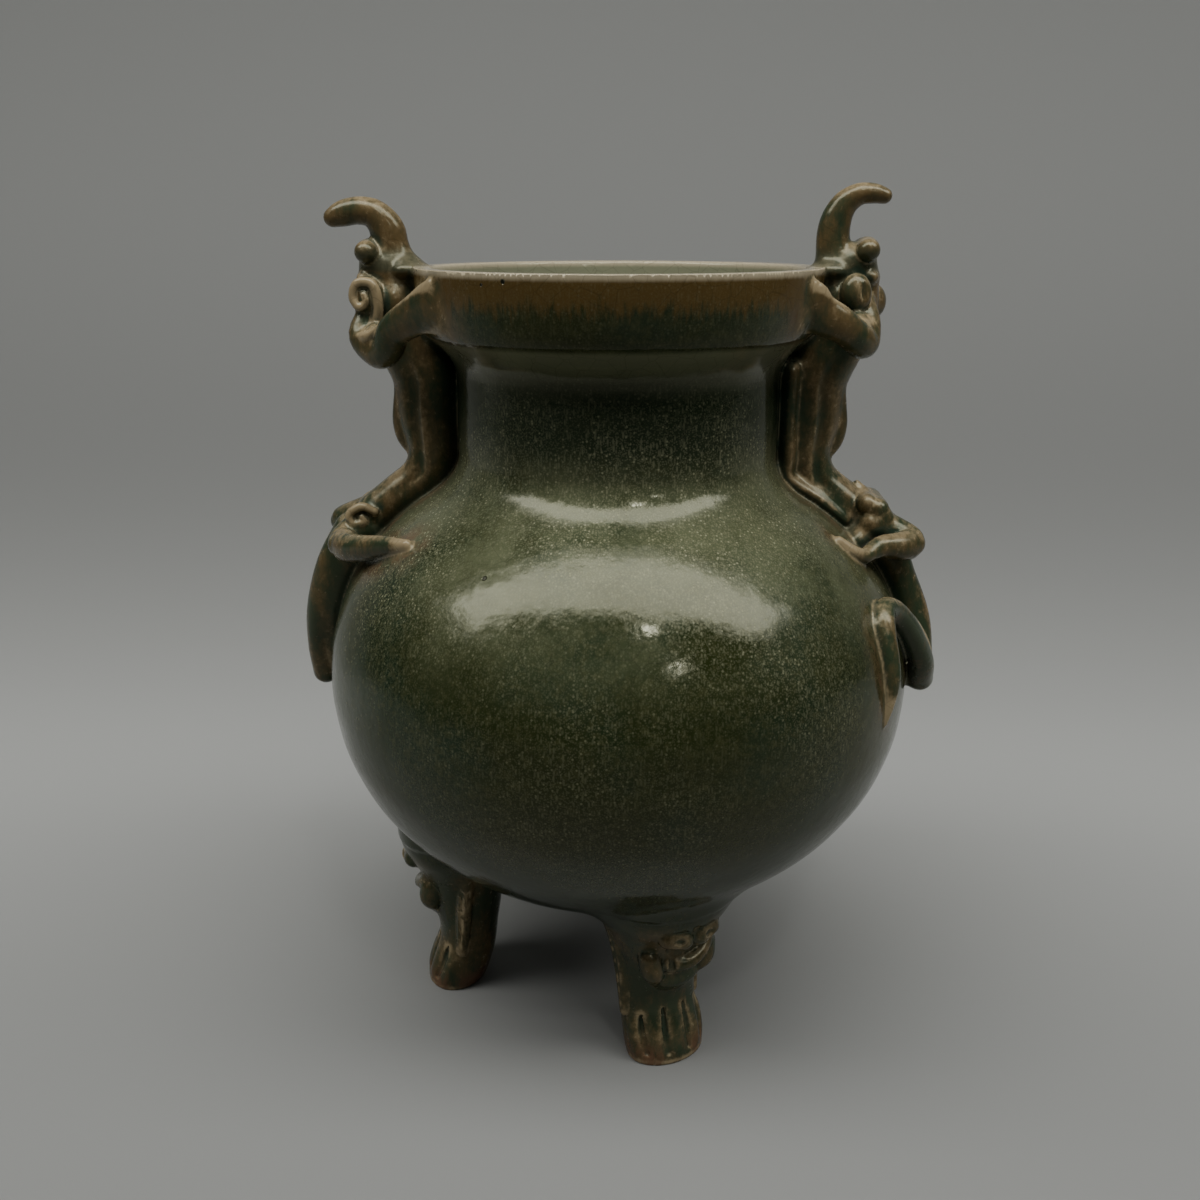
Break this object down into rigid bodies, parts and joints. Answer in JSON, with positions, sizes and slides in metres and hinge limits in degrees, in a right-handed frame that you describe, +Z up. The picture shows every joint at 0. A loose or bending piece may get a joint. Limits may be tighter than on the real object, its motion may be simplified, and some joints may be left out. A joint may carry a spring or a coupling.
{
  "type": "tripod censer",
  "caption": "Hollow globular tripod censer with a straight neck, banded open mouth, climbing dragon handles and beast-mask legs, glazed olive green.",
  "frame": {"origin": "on the ground under the axis of the pot", "axes": "+Z up along the axis of the pot, +X towards the handle with the slimmer horn, -Y towards the side with a leg in view"},
  "size_m": [0.1897, 0.17, 0.2457],
  "materials": {
    "celadon_glaze": "glossy olive celadon, ochre where thin, teal where pooled"
  },
  "bodies": {
    "root": {"censer": "celadon_glaze"}
  },
  "joints": []
}
